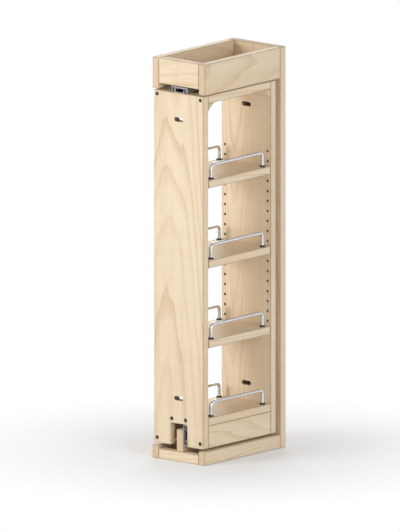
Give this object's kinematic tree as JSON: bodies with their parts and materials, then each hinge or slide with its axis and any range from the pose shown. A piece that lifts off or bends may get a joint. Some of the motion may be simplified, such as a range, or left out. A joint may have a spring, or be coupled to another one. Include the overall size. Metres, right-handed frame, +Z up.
{
  "type": "filler pull-out organizer",
  "caption": "Tall narrow wooden pull-out that runs out of a fixed frame on ball-bearing slides, with wire-railed shelves on pins for bottles and jars.",
  "frame": {"origin": "on the floor, under the middle of the unit's box", "axes": "+Z up; -Y out of the narrow front, the way the carriage is pulled; +X across the unit to the right seen from the front"},
  "size_m": [0.1524, 0.2826, 0.9144],
  "materials": {
    "frame_maple": "clear satin lacquer on maple",
    "carriage_maple": "clear satin lacquer on maple",
    "shelf_maple": "clear satin lacquer on maple",
    "chrome_wire": "polished chrome plate",
    "slide_zinc": "bright zinc plate",
    "cage_steel": "plain rolled steel",
    "ball_steel": "polished steel",
    "nickel_pin": "nickel plate",
    "dark_screw_steel": "black oxide",
    "black_plastic": "moulded, fine matt",
    "lever_plastic": "moulded, fine matt"
  },
  "bodies": {
    "frame": {"rear_board": "frame_maple", "top_side_board_left": "frame_maple", "top_side_board_right": "frame_maple", "base_side_board_left": "frame_maple", "base_side_board_right": "frame_maple", "top_front_crosspiece": "frame_maple", "base_front_crosspiece": "frame_maple", "top_slide_board": "frame_maple", "bottom_slide_rail": "frame_maple", "frame_screws": "dark_screw_steel", "top_slide_outer": "slide_zinc", "bottom_slide_outer": "slide_zinc", "top_slide_frame_screws": "dark_screw_steel", "bottom_slide_frame_screws": "dark_screw_steel", "slide_bumpers": "black_plastic"},
    "carriage": {"front_panel": "carriage_maple", "back_panel": "carriage_maple", "top_rail": "carriage_maple", "corner_block_front": "carriage_maple", "corner_block_rear": "carriage_maple", "skirt_left": "carriage_maple", "skirt_right": "carriage_maple", "slide_spacer": "carriage_maple", "bottom_shelf": "shelf_maple", "bottom_shelf_rail_left": "chrome_wire", "bottom_shelf_rail_right": "chrome_wire", "bottom_shelf_ferrules": "black_plastic", "front_panel_screws": "dark_screw_steel", "back_panel_screws": "dark_screw_steel", "top_slide_inner": "slide_zinc", "bottom_slide_inner": "slide_zinc", "top_slide_carriage_screws": "dark_screw_steel", "bottom_slide_carriage_screws": "dark_screw_steel", "lower_shelf_pins": "nickel_pin", "middle_shelf_pins": "nickel_pin", "upper_shelf_pins": "nickel_pin"},
    "top_middle_member": {"top_slide_middle": "slide_zinc"},
    "top_outer_ball_cage": {"top_outer_cage": "cage_steel", "top_outer_balls": "ball_steel"},
    "top_inner_ball_cage": {"top_inner_cage": "cage_steel", "top_inner_balls": "ball_steel"},
    "top_lever": {"top_release_lever": "lever_plastic"},
    "bottom_middle_member": {"bottom_slide_middle": "slide_zinc"},
    "bottom_outer_ball_cage": {"bottom_outer_cage": "cage_steel", "bottom_outer_balls": "ball_steel"},
    "bottom_inner_ball_cage": {"bottom_inner_cage": "cage_steel", "bottom_inner_balls": "ball_steel"},
    "bottom_lever": {"bottom_release_lever": "lever_plastic"},
    "lower_shelf_set": {"lower_shelf": "shelf_maple", "lower_shelf_rail_left": "chrome_wire", "lower_shelf_rail_right": "chrome_wire", "lower_shelf_ferrules": "black_plastic"},
    "middle_shelf_set": {"middle_shelf": "shelf_maple", "middle_shelf_rail_left": "chrome_wire", "middle_shelf_rail_right": "chrome_wire", "middle_shelf_ferrules": "black_plastic"},
    "upper_shelf_set": {"upper_shelf": "shelf_maple", "upper_shelf_rail_left": "chrome_wire", "upper_shelf_rail_right": "chrome_wire", "upper_shelf_ferrules": "black_plastic"}
  },
  "joints": [
    {"name": "pullout_slide", "type": "slide", "parent": "frame", "child": "carriage", "axis": [0, -1, 0], "range_m": [0, 0.25]},
    {"name": "top_middle_slide", "type": "slide", "parent": "frame", "child": "top_middle_member", "axis": [0, -1, 0], "range_m": [0, 0.125]},
    {"name": "top_outer_ball_cage_slide", "type": "slide", "parent": "frame", "child": "top_outer_ball_cage", "axis": [0, -1, 0], "range_m": [0, 0.0625]},
    {"name": "top_inner_ball_cage_slide", "type": "slide", "parent": "frame", "child": "top_inner_ball_cage", "axis": [0, -1, 0], "range_m": [0, 0.1875]},
    {"name": "top_lever_pivot", "type": "hinge", "parent": "carriage", "child": "top_lever", "pos_m": [0, -0.028, 0.8431], "axis": [0, 0, 1], "range_deg": [0, 12], "stiffness_Nm_per_rad": 0.02},
    {"name": "bottom_middle_slide", "type": "slide", "parent": "frame", "child": "bottom_middle_member", "axis": [0, -1, 0], "range_m": [0, 0.125]},
    {"name": "bottom_outer_ball_cage_slide", "type": "slide", "parent": "frame", "child": "bottom_outer_ball_cage", "axis": [0, -1, 0], "range_m": [0, 0.0625]},
    {"name": "bottom_inner_ball_cage_slide", "type": "slide", "parent": "frame", "child": "bottom_inner_ball_cage", "axis": [0, -1, 0], "range_m": [0, 0.1875]},
    {"name": "bottom_lever_pivot", "type": "hinge", "parent": "carriage", "child": "bottom_lever", "pos_m": [0.0211, -0.028, 0.0617], "axis": [1, 0, 0], "range_deg": [0, 12], "stiffness_Nm_per_rad": 0.02},
    {"name": "lower_shelf_lift", "type": "slide", "parent": "carriage", "child": "lower_shelf_set", "axis": [0, 0, 1], "range_m": [0, 0.114]},
    {"name": "middle_shelf_lift", "type": "slide", "parent": "carriage", "child": "middle_shelf_set", "axis": [0, 0, 1], "range_m": [0, 0.114]},
    {"name": "upper_shelf_lift", "type": "slide", "parent": "carriage", "child": "upper_shelf_set", "axis": [0, 0, 1], "range_m": [0, 0.114]}
  ],
  "couplings": [
    {"joint": "top_middle_slide", "follows": "pullout_slide", "ratio": 0.5},
    {"joint": "top_outer_ball_cage_slide", "follows": "pullout_slide", "ratio": 0.25},
    {"joint": "top_inner_ball_cage_slide", "follows": "pullout_slide", "ratio": 0.75},
    {"joint": "bottom_middle_slide", "follows": "pullout_slide", "ratio": 0.5},
    {"joint": "bottom_outer_ball_cage_slide", "follows": "pullout_slide", "ratio": 0.25},
    {"joint": "bottom_inner_ball_cage_slide", "follows": "pullout_slide", "ratio": 0.75}
  ]
}
